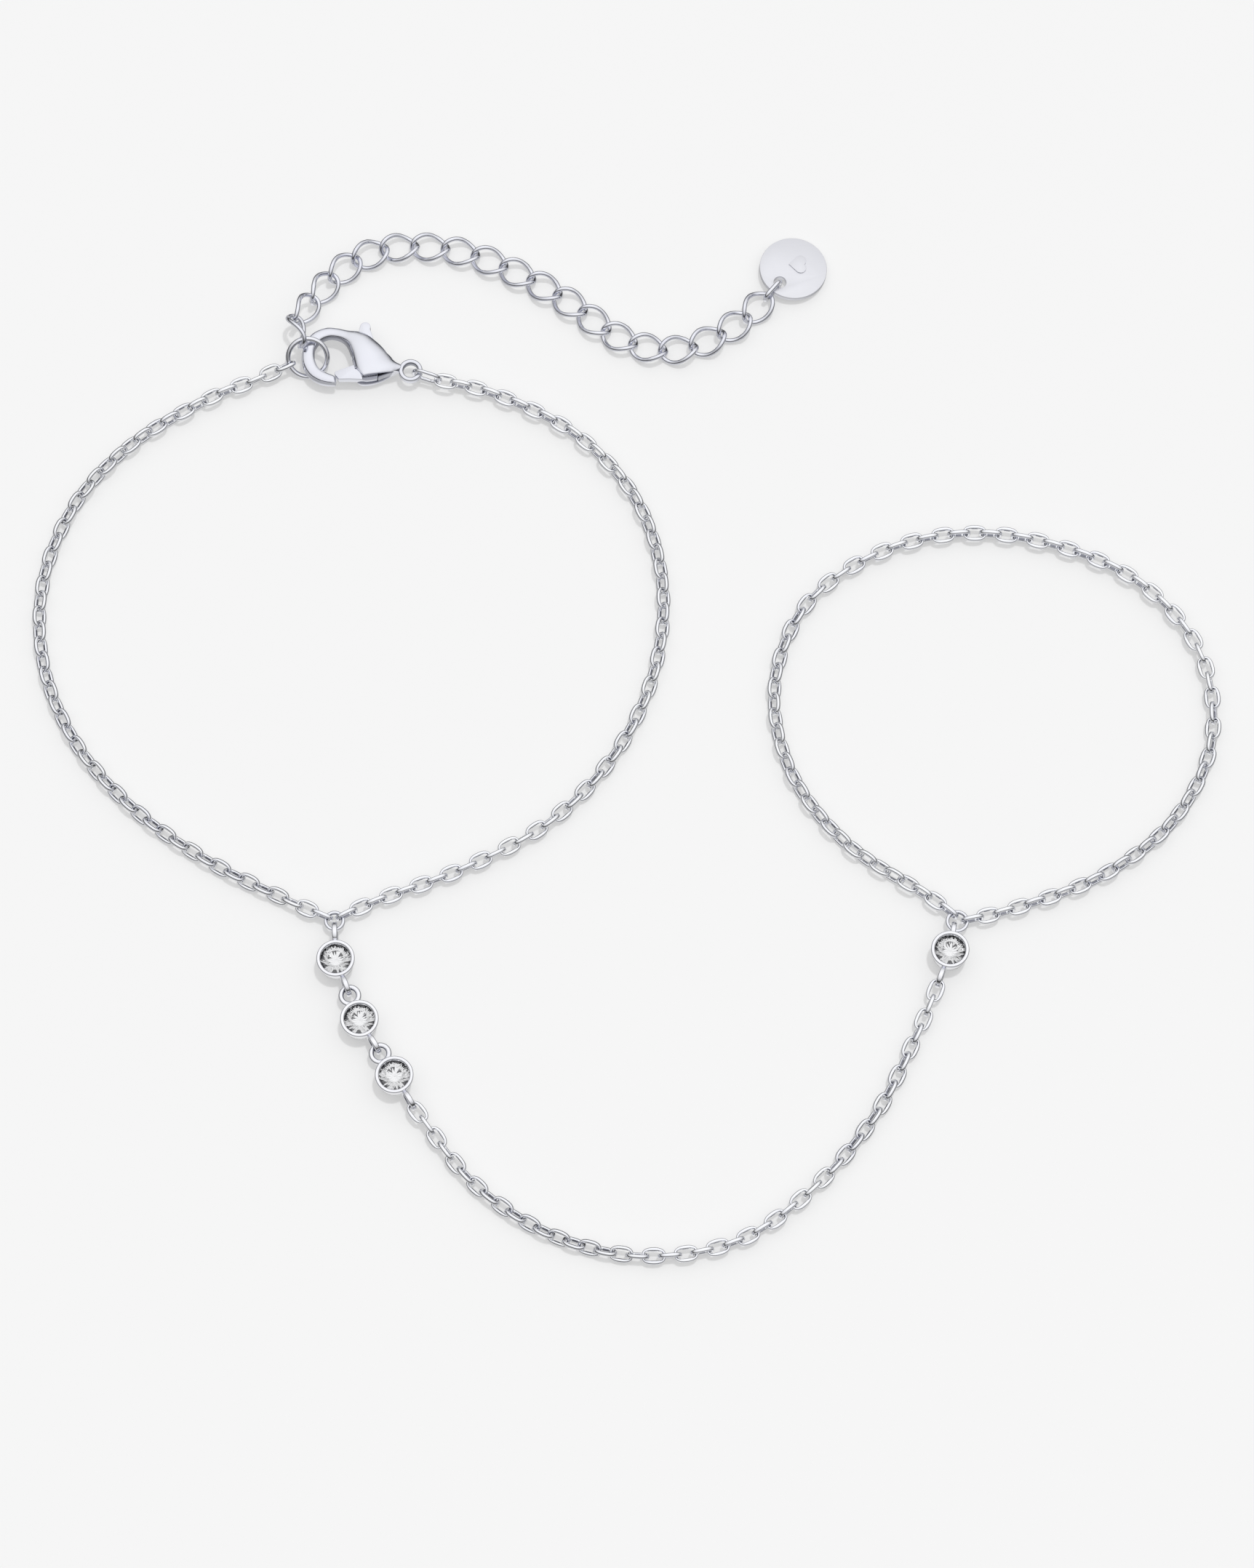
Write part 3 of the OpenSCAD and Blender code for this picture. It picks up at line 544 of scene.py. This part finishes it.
def wire_oval(l, w, wire, steps=64, sides=14, seam=0.0, gap=0.035):
    """Oval of round wire along X, closed to a fine seam at the angle given."""
    half, r = (l - w) / 2, (w - wire) / 2
    loop = [vec(half, 0, 0) + polar(r, a) for a in np.linspace(-90, 90, steps // 2)]
    loop += [vec(-half, 0, 0) + polar(r, a) for a in np.linspace(90, 270, steps // 2)]
    loop = np.array(loop)
    ways = np.degrees(np.arctan2(loop[:, 1], loop[:, 0])) % 360
    first = int(np.argmin(np.abs((ways - seam + 180) % 360 - 180)))
    loop = np.roll(loop, -first, axis=0)
    loop = loop[np.concatenate([[True], np.linalg.norm(np.diff(loop, axis=0), axis=1) > 1e-6])]
    closed = np.vstack([loop, loop[:1]])
    d = distances(closed)
    s = np.concatenate([[gap / 2, gap / 2, gap / 2 + 0.05], np.linspace(0.15, d[-1] - 0.15, steps),
                        [d[-1] - gap / 2 - 0.05, d[-1] - gap / 2, d[-1] - gap / 2]])
    size = np.ones(len(s))
    size[0] = size[-1] = 0.8
    path = np.stack([np.interp(s, d, closed[:, k]) for k in range(3)], 1)
    ahead = np.stack([np.interp((s + 0.02) % d[-1], d, closed[:, k]) for k in range(3)], 1)
    behind = np.stack([np.interp((s - 0.02) % d[-1], d, closed[:, k]) for k in range(3)], 1)
    rings = []
    for p, a, b, k in zip(path, ahead, behind, size):
        along = unit(a - b)
        out = vec(along[1], -along[0], 0)
        rings.append([p + k * wire / 2 * (out * math.cos(t) + vec(0, 0, 1) * math.sin(t))
                      for t in 2 * np.pi * np.arange(sides) / sides])
    return np.concatenate(rings), tube_faces(len(rings), sides, False)


piece("jump_ring_wire", Parts().add(wire_oval(JUMP_D, JUMP_D, JUMP_WIRE, 96, 18, seam=215), jump_turn, jump_mid),
      fitting_silver, "fitting_silver", "jump_ring")
piece("clasp_link_wire", Parts().add(wire_oval(CLASP_LINK_L, CLASP_LINK_W, CLASP_LINK_WIRE, seam=270),
                                     *between(clasp_link_start, clasp_link_end, 90)),
      fitting_silver, "fitting_silver", "clasp_link")
piece("tag_link_wire", Parts().add(wire_oval(TAG_LINK_L, TAG_LINK_W, TAG_LINK_WIRE, seam=250),
                                   *between(tag_link_out, tag_link_in, 90)),
      fitting_silver, "fitting_silver", "tag_link")
for name, d, at in (("wrist", WRIST_RING_D, wrist_ring_at), ("finger", FINGER_RING_D, finger_ring_at)):
    ring = band_ring(d)
    # The faces round each ring's hole get painted shade.
    piece(f"{name}_ring_band", Parts().add(ring, at=at, inner=facing(*ring)),
          fitting_silver, "fitting_silver", f"{name}_junction_ring")


# Settings: a tapered cup with a rounded bezel rim, and soldered ears

BEZEL_ROUND = 0.12
STONE_TURN, STONE_TURN_STEP = 11, 31


def cup():
    """Outside wall, rounded bezel that slopes a little to the stone, and the seat inside."""
    r, top, inner = CUP_D / 2, CUP_H, CUP_D / 2 - BEZEL_W
    wall = [(0.45, 0.02), (0.5, 0), (1.2, 0), (1.3, 0.03), (1.39, 0.11), (1.44, 0.24), (1.55, 1.12), (1.6, 1.42),
            (r - 0.01, 1.6), (r, 1.7)]
    corner = [polar(BEZEL_ROUND, a) for a in range(0, 91, 15)]
    bezel = [(r - BEZEL_ROUND + p[0], top - BEZEL_ROUND + p[1]) for p in corner]
    bezel += [(inner + 0.1, top - 0.006), (inner + 0.06, top - 0.025), (inner + 0.03, top - 0.055),
              (inner + 0.01, top - 0.1), (inner, top - 0.17)]
    seat = [(inner, 1.6), (inner + 0.02, 1.56), (1.4, 1.53), (1.4, 1.36), (1.2, 1.2), (0.47, 0.56), (0.45, 0.52)]
    return lathe(wall + bezel + seat, 96)


def ear(d, out, way, upright):
    """Ring of band soldered to the cup, without what would lie inside the cup's wall."""
    points, faces = band_ring(d, BAND_T if upright else FLAT_EAR_T)
    # Faces round the ear's hole are marked for painted shade.
    inside = facing(points, faces)
    points = placed(points, turn(x=90 * upright, z=way), polar(out, way, EAR_Z))
    keep = np.hypot(points[:, 0], points[:, 1]) > CUP_D / 2 - EAR_SINK
    shown = [k for k, f in enumerate(faces) if all(keep[i] for i in f)]
    return (points, [faces[k] for k in shown]), [inside[k] for k in shown]


def way_between(a, b):
    return math.degrees(math.atan2(b[1] - a[1], b[0] - a[0]))


ways = [way_between(CUP_AT[0], CUP_AT[1]), way_between(CUP_AT[1], CUP_AT[2])]
ears = [
    [(LONG_EAR_D, ear_out(LONG_EAR_D), TOP_EAR_WAY, True), (EAR_D, ear_out(EAR_D), ways[0], True)],
    [(EAR_D, ear_out(EAR_D), ways[0] + 180, False), (EAR_D, ear_out(EAR_D), ways[1], True)],
    [(EAR_D, ear_out(EAR_D), ways[1] + 180, False), (EAR_D, ear_out(EAR_D), SWAG_START_WAY, True)],
    [(SHORT_EAR_D, SHORT_EAR_OUT, FINGER_EAR_WAY, True), (EAR_D, ear_out(EAR_D), SWAG_END_WAY, True)],
]


def brilliant(turned, first_dark, n=12, table=0.5, star=0.79, low=0.36, crown=0.46, girdle=0.05, deep=1.2):
    """Round brilliant with n main facets each side of a thin girdle; table, star and low are shares of its radius.
    Some facets below the girdle are marked for a near-black metal, painted dark reflection, in an uneven row along
    the side that lies towards -Y once the stone is turned."""
    r, step = STONE_D / 2, 360 / n
    tilt = math.cos(math.radians(step / 2))
    star_z = girdle + (1 - star * tilt) / (1 - table) * (crown - girdle)
    low_z = -deep * (1 - low * tilt)
    p = [polar(table * r, step * i, crown) for i in range(n)]
    p += [polar(star * r, step * (i + 0.5), star_z) for i in range(n)]
    p += [polar(r, step / 2 * i, girdle) for i in range(2 * n)]
    p += [polar(r, step / 2 * i, 0) for i in range(2 * n)]
    p += [polar(low * r, step * (i + 0.5), low_z) for i in range(n)]
    p += [vec(0, 0, -deep)]
    faces, dark = [tuple(range(n))], [False]
    lows, tip = 6 * n, 7 * n
    for i in range(n):
        j, before, star_i, low_i, low_before = (i + 1) % n, n + (i - 1) % n, n + i, lows + i, lows + (i - 1) % n
        g, under = [[first + (2 * i + k) % (2 * n) for k in (0, 1, 2)] for first in (2 * n, 4 * n)]
        faces += [(i, before, g[0], star_i), (i, star_i, j), (star_i, g[0], g[1]), (star_i, g[1], g[2])]
        faces += [(under[0], under[1], g[1], g[0]), (under[1], under[2], g[2], g[1])]
        faces += [(under[0], low_before, tip, low_i), (under[0], low_i, under[1]), (under[1], low_i, under[2])]
        near, at = math.sin(math.radians(step * (i + 0.5) + turned)) < 0.1, i + first_dark
        dark += [False] * 7 + [near and at % 3 != 1, near and at % 2 == 0]
    return (np.array(p), faces), dark


for i, at in enumerate(CUP_AT):
    parts = Parts().add(cup(), at=vec(*at, 0))
    for e in ears[i]:
        mesh, inside = ear(*e)
        parts.add(mesh, at=vec(*at, 0), inner=inside)
    piece(f"cup_{i + 1}", parts, setting_silver, "setting_silver", f"setting_{i + 1}", sharp=50)
    turned = STONE_TURN + STONE_TURN_STEP * i
    mesh, dark = brilliant(turned, 5 * i)
    piece(f"brilliant_{i + 1}", Parts().add(mesh, turn(z=turned), vec(*at, STONE_Z), dark),
          clear_stone, "clear_stone", f"stone_{i + 1}", sharp=0, second=painted_reflection_facet)


# Clasp: one sweep from the hook's tip round to the neck, then the slot and the straight lower edge are cut

# Each row: inner edge x and y, outer edge x and y, half thickness, how square the inner and outer sides are, crease
CLASP_ROWS = [
    (0.58, -2.02, 0.9, -2.88, 0.5, 3, 3, 1), (0.1, -1.97, 0.16, -3, 0.56, 3.4, 3.4, 1),
    (-0.44, -1.84, -0.66, -2.94, 0.57, 3.4, 3.4, 1), (-0.92, -1.54, -1.5, -2.58, 0.57, 3.4, 3.4, 1),
    (-1.29, -1, -2.25, -1.76, 0.57, 3.4, 3.4, 1), (-1.5, -0.4, -2.6, -0.72, 0.57, 3.4, 3.2, 0.9),
    (-1.52, 0.15, -2.6, 0.26, 0.57, 3.4, 3, 0.6), (-1.24, 0.8, -2.15, 1.38, 0.57, 3.4, 2.8, 0.3),
    (-0.68, 1.26, -1.15, 2.16, 0.57, 3.4, 2.6, 0), (-0.1, 1.4, -0.18, 2.36, 0.58, 3.4, 2.5, 0),
    (0.52, 1.33, 0.85, 2.38, 0.68, 3.4, 2.4, 0), (1.05, 1.02, 1.75, 2.5, 0.84, 3.4, 2.3, 0),
    (1.45, 0.5, 2.6, 2.43, 0.98, 3.6, 2.2, 0), (1.8, -0.1, 3.4, 2.08, 1.07, 3.6, 2.1, 0),
    (2.15, -0.8, 4.1, 1.7, 1.1, 3.6, 2.1, 0), (2.5, -1.45, 4.65, 1.32, 1.06, 3.6, 2.1, 0),
    (2.9, -2.3, 5, 1.02, 1, 3.6, 2.1, 0), (3.6, -2.3, 5.22, 0.8, 0.93, 3.6, 2.2, 0),
    (4.6, -1.8, 5.45, 0.6, 0.83, 3.4, 2.3, 0), (5.3, -1.35, 5.7, 0.48, 0.7, 3, 2.4, 0),
    (5.75, -0.75, 5.97, 0.4, 0.55, 2.7, 2.5, 0), (6.1, -0.34, 6.25, 0.3, 0.42, 2.5, 2.5, 0)]
# Where the crease lies across and up the section, and how far the hook's rounded tip reaches out
CREASE_U, CREASE_V, TIP_REACH = 0.74, 0.86, 0.26


def clasp_section(c, s, square_in, square_out, crease):
    """Outline across the casting, from -1 to 1 each way, with a crease along the outer upper edge."""
    u, v = superellipse(c, s, np.where(c > 0, square_out, square_in))
    t = np.arctan2(s, c) / (np.pi / 4)
    side, roof = (t >= 0) & (t < 1), (t >= 1) & (t < 2)
    u = np.where(side, u + crease * (1 - t * (1 - CREASE_U) - u), u)
    v = np.where(side, v + crease * (t * CREASE_V - v), v)
    u = np.where(roof, u + crease * ((2 - t) * CREASE_U - u), u)
    v = np.where(roof, v + crease * (1 - (1 - CREASE_V) * (2 - t) ** 2 - v), v)
    return u, v


def clasp_sweep(sides=40):
    """The casting as one sweep through the rows, with a rounded tip and a tapered neck."""
    rows = smooth(CLASP_ROWS, 7)
    t = 2 * np.pi * (np.arange(sides) + 0.5) / sides
    rings = []
    ends = [(0, 0.3), (0, 0.7), (0, 0.92)] + [(k, 1.0) for k in range(len(rows))] + [(len(rows) - 1, 0.5)]
    for k, size in ends:
        x0, y0, x1, y1, h, square_in, square_out, crease = rows[k]
        u, v = clasp_section(np.cos(t), np.sin(t), square_in, square_out, crease)
        mid, half = vec((x0 + x1) / 2, (y0 + y1) / 2, 0), vec((x1 - x0) / 2, (y1 - y0) / 2, 0)
        ring = mid + np.outer(u * size, half) + np.outer(v * size * h, vec(0, 0, 1))
        if k == 0:
            ring = ring + vec(1, 0.06, 0) * TIP_REACH * math.sqrt(1 - size * size)
        rings.append(ring)
    return np.concatenate(rings), tube_faces(len(rings), sides, False)


# Points along and across the body's straight lower edge
edge_at, edge_turn = vec(2.7, -1.85, 0), turn(z=24)


def along_edge(points):
    return [tuple((edge_at + edge_turn @ vec(x, y, 0))[:2]) for x, y in points]


# Below the top plate, the middle shelf and the lower lip stand out a little in a curve
SHELF_Z = 0.2
SHELF_EDGE = [(-1, -0.3), (1.8, -0.3), (2.3, -0.18), (2.8, -0.07), (3.3, 0.02), (5, 0.2)]
LIP_EDGE = [(-1, 0), (-0.15, 0), (0.05, -0.15), (0.3, -0.32), (0.7, -0.42), (1.2, -0.45), (1.75, -0.41), (2.2, -0.32),
            (2.7, -0.14), (3.1, 0), (5, 0.2)]
body = solid("clasp_blank", clasp_sweep())
half_slot = SLOT_T / 2
slot = solid("slot", prism([(1.72, 3.5), (1.72, 2.3), (2.15, 1), (2.2, 0.2), (1.7, -0.05), (1.5, -1), (1.5, -3),
                            (4.4, -3), (4.55, -0.5), (4.3, 0.8), (4.35, 1.15), (5.35, 0.72), (5.6, 3.5)],
                           -half_slot, half_slot))
plate_edge = [(-1, -2), (5, -2), (5, 0), (0.64, 0), (0.12, 0.9), (-1, 0.9)]
cut(body, slot, solid("plate_edge", prism(along_edge(plate_edge), SHELF_Z, 2)),
    solid("shelf_edge", prism(along_edge([(5, -2), *SHELF_EDGE[::-1], (-1, -2)]), -half_slot, SHELF_Z)),
    solid("lip_edge", prism(along_edge([(5, -2), *LIP_EDGE[::-1], (-1, -2)]), -2, -half_slot)),
    solid("groove", prism(along_edge([(0.3, -0.5), (3.3, -0.5), (3.3, 0.02), (1.7, 0.35), (0.3, 0.35)]),
                          SHELF_Z, half_slot)))
soften(body, 0.03, 40)
points, faces = mesh_of(body)


def gets_painted_shade(look, at, normal):
    """Faces that get painted shade: the inner wall of the hook, the slot, the groove and the upper sides of shelf and
    lip; along the hook's crease it is a painted dark reflection.
    """
    x, y, z = at
    across = (edge_turn.T @ (at - edge_at))[1]
    wall = look and abs(normal[2]) < 0.6 and y > -0.9 and x < 5
    slot_side = abs(abs(z) - half_slot) < 0.02 and normal[2] * z < 0 and x > 1.4
    shelf_top = abs(z - SHELF_Z) < 0.02 and normal[2] > 0.9
    groove_back = SHELF_Z < z < half_slot and across > 0.01 and x > 3 and abs(normal[2]) < 0.6
    crease = 0.43 < z < 0.53 and 0.3 < normal[2] < 0.85 and x < 0.75 and y < -1.7 and normal[1] < 0
    return bool(wall or slot_side or shelf_top or groove_back or crease)


# The marked faces get the darker metal: painted shade, and a painted dark line along the crease.
painted_shade_flags = [gets_painted_shade(look, *mid) for look, mid in zip(facing(points, faces, (0.3, -0.2), 0.75), middles(points, faces))]
clasp = Parts().add((points, faces), clasp_turn, clasp_at, painted_shade_flags)
ring = lathe([((END_RING_D - END_RING_T) / 2 + x, y) for x, y in rounded(END_RING_T, END_RING_H, 0.15)], 72)
# The faces round the end ring's hole get painted shade.
clasp.add(ring, clasp_turn, clasp_at + polar(END_RING_X, CLASP_WAY), facing(*ring))
clasp.add(lathe([(0.01, -0.6), (PIN_D / 2, -0.6), (PIN_D / 2, 0.6), (0.01, 0.6)], 32),
          clasp_turn, clasp_at + clasp_turn @ vec(*PIVOT, 0))
piece("clasp_casting", clasp, clasp_silver, "clasp_silver", "clasp_body", sharp=32)

# Lever: tongue, hub and thumb tab in one outline, about the pin
lever_outline = [(-2.42, -1.78), (-2.2, -1.72), (-1.54, -1.55), (-0.66, -1.37), (-0.05, -1.25), (0.36, -1.1),
                 (0.7, -0.93), (0.85, -0.84), (0.85, -0.5), (0.78, -0.2), (0.72, 0.05), (0.63, 0.36), (0.3, 0.62),
                 (-0.15, 1.75), (-0.45, 2.75), (-0.9, 3.45)]
lever_outline += [tuple((vec(-1.36, 3.55, 0) + polar(0.46, a))[:2]) for a in range(0, 181, 20)]
lever_outline += [(-1.8, 2.9), (-1.3, 1.6), (-0.85, 0.35), (-0.95, 0.08), (-1.5, -0.2), (-2.84, -1.12),
                  (-2.92, -1.25), (-2.88, -1.42)]
lever = solid("lever_blank", prism(lever_outline, -LEVER_T / 2, LEVER_T / 2))
bore = solid("bore", lathe([(0.005, -1), (PIN_D / 2 + 0.05, -1), (PIN_D / 2 + 0.05, 1), (0.005, 1)], 32))
step = [(x - PIVOT[0], y - PIVOT[1]) for x, y in along_edge([(0.5, -1), (2, -1), (2, 0.1), (0.5, 0.1)])]
cut(lever, solid("lever_step", prism(step, SHELF_Z, 1)))
soften(lever, 0.06, 30)
cut(lever, bore)
points, faces = mesh_of(lever)
# The top of the step under the top plate gets painted shade.
painted_shade_flags = [bool(abs(at[2] - SHELF_Z) < 0.03 and normal[2] > 0.9) for at, normal in middles(points, faces)]
piece("lever_plate", Parts().add((points, faces), clasp_turn, clasp_at + clasp_turn @ vec(*PIVOT, 0), painted_shade_flags),
      clasp_silver, "clasp_silver", "clasp_lever", body="lever", sharp=32)

# Tag: a satin disc with a hole, and a small raised heart
HEART_SINK, HEART_RISE = 0.05, 0.12
tag_turn = turn(z=TAG_WAY) @ turn(y=TAG_LEAN)
tag_mid = vec(*TAG_AT, TAG_D / 2 * math.sin(math.radians(TAG_LEAN)))
r = TAG_D / 2
disc = solid("disc_blank", prism([tuple(polar(r, a)[:2]) for a in np.arange(0, 360, 3)], 0, TAG_T))
hole = solid("hole", prism([tuple((vec(-TAG_HOLE_OUT, 0, 0) + polar(TAG_HOLE_D / 2, a))[:2])
                            for a in np.arange(0, 360, 10)], -1, 2))
cut(disc, hole)
soften(disc, 0.05, 50)
heart = [(-0.5, -0.5), (0.5, -0.5)]
heart += [tuple((vec(0.5, 0, 0) + polar(0.5, a))[:2]) for a in range(-80, 90, 10)] + [(0.5, 0.5)]
heart += [tuple((vec(0, 0.5, 0) + polar(0.5, a))[:2]) for a in range(10, 181, 10)]
pad = solid("heart_blank", prism(heart, TAG_T - HEART_SINK, TAG_T + HEART_RISE))
soften(pad, 0.04, 40)
tag = Parts().add(mesh_of(disc), tag_turn, tag_mid)
tag.add(mesh_of(pad), tag_turn @ turn(z=-90 - TAG_WAY + 45), tag_mid + tag_turn @ vec(0.45, 0, 0))
piece("tag_plate", tag, tag_silver, "tag_silver", "tag_disc", sharp=30)

# Floor, world and light

FLOOR_GLOW, FLOOR_REACH = 0.36, 3
STUDIO_AXIS = (0.1, 0.3, 0.949)
# Level of the studio by the cosine of the angle from its axis
STUDIO = [(-1, 0.88), (-0.93, 0.76), (-0.8, 0.42), (-0.6, 0.62), (-0.25, 0.42), (-0.08, 0.06), (0.08, 0.03),
          (0.25, 0.24), (0.5, 0.65), (0.75, 0.9), (0.92, 1.02), (1, 1.09)]
# Strength of the sun, how wide it is, and how it is tilted about X and Y, in degrees
SUN_ENERGY, SUN_WIDTH, SUN_TILT = 1.0, 4, (-13, 9)

floor_mat, tree, shader = new_material("floor")
grain = node(tree, "ShaderNodeTexNoise", Scale=40.0, Detail=4.0)
ramp = node(tree, "ShaderNodeValToRGB")
ramp.color_ramp.elements[0].color = (0.53, 0.53, 0.53, 1)
ramp.color_ramp.elements[1].color = (0.54, 0.54, 0.54, 1)
tree.links.new(grain.outputs["Fac"], ramp.inputs["Fac"])
tree.links.new(ramp.outputs["Color"], shader.inputs["Base Color"])
shader.inputs["Roughness"].default_value = 0.95
shader.inputs["Specular IOR Level"].default_value = 0.1
shader.inputs["Emission Color"].default_value = (1, 1, 1, 1)
shader.inputs["Emission Strength"].default_value = FLOOR_GLOW
floor_data = bpy.data.meshes.new("floor")
corners = [(x * FLOOR_REACH, y * FLOOR_REACH, 0) for x, y in ((-1, -1), (1, -1), (1, 1), (-1, 1))]
floor_data.from_pydata(corners, [], [(0, 1, 2, 3)])
floor_data.materials.append(floor_mat)
floor = bpy.data.objects.new("floor", floor_data)
bpy.context.scene.collection.objects.link(floor)
floor.visible_glossy = False

world = bpy.data.worlds.new("studio")
bpy.context.scene.world = world
world.use_nodes = True
tree = world.node_tree
back = tree.nodes["Background"]
way = node(tree, "ShaderNodeTexCoord")
lean = node(tree, "ShaderNodeVectorMath", operation="DOT_PRODUCT")
lean.inputs[1].default_value = STUDIO_AXIS
tree.links.new(way.outputs["Generated"], lean.inputs[0])
half = node(tree, "ShaderNodeMapRange")
half.inputs["From Min"].default_value = -1.0
tree.links.new(lean.outputs["Value"], half.inputs["Value"])
sky = node(tree, "ShaderNodeValToRGB")
for _ in range(len(STUDIO) - 2):
    sky.color_ramp.elements.new(0.5)
for e, (cosine, level) in zip(sky.color_ramp.elements, STUDIO):
    e.position, e.color = (cosine + 1) / 2, (level, level, level, 1)
tree.links.new(half.outputs["Result"], sky.inputs["Fac"])
tree.links.new(sky.outputs["Color"], back.inputs["Color"])
back.inputs["Strength"].default_value = 1.0

sun_data = bpy.data.lights.new("key", "SUN")
sun_data.energy, sun_data.angle = SUN_ENERGY, math.radians(SUN_WIDTH)
sun = bpy.data.objects.new("key", sun_data)
sun.rotation_euler = (*[math.radians(a) for a in SUN_TILT], 0)
sun.visible_glossy = False
bpy.context.scene.collection.objects.link(sun)

# Camera: its height over the table in degrees, its distance from the target in metres, and its lens
CAMERA_UP, CAMERA_FAR, CAMERA_LENS = 72, 0.48, 128.24
cam_data = bpy.data.cameras.new("camera")
cam_data.sensor_width, cam_data.lens = 36, CAMERA_LENS
cam_data.clip_start, cam_data.clip_end = 0.01, 20
cam = bpy.data.objects.new("camera", cam_data)
rise = math.radians(CAMERA_UP)
target = Vector((0, -0.0045, 0))
cam.location = target + Vector((0, -math.cos(rise), math.sin(rise))) * CAMERA_FAR
cam.rotation_euler = (math.pi / 2 - rise, 0, 0)
bpy.context.scene.collection.objects.link(cam)
bpy.context.scene.camera = cam
bpy.context.scene.view_settings.view_transform = "Standard"
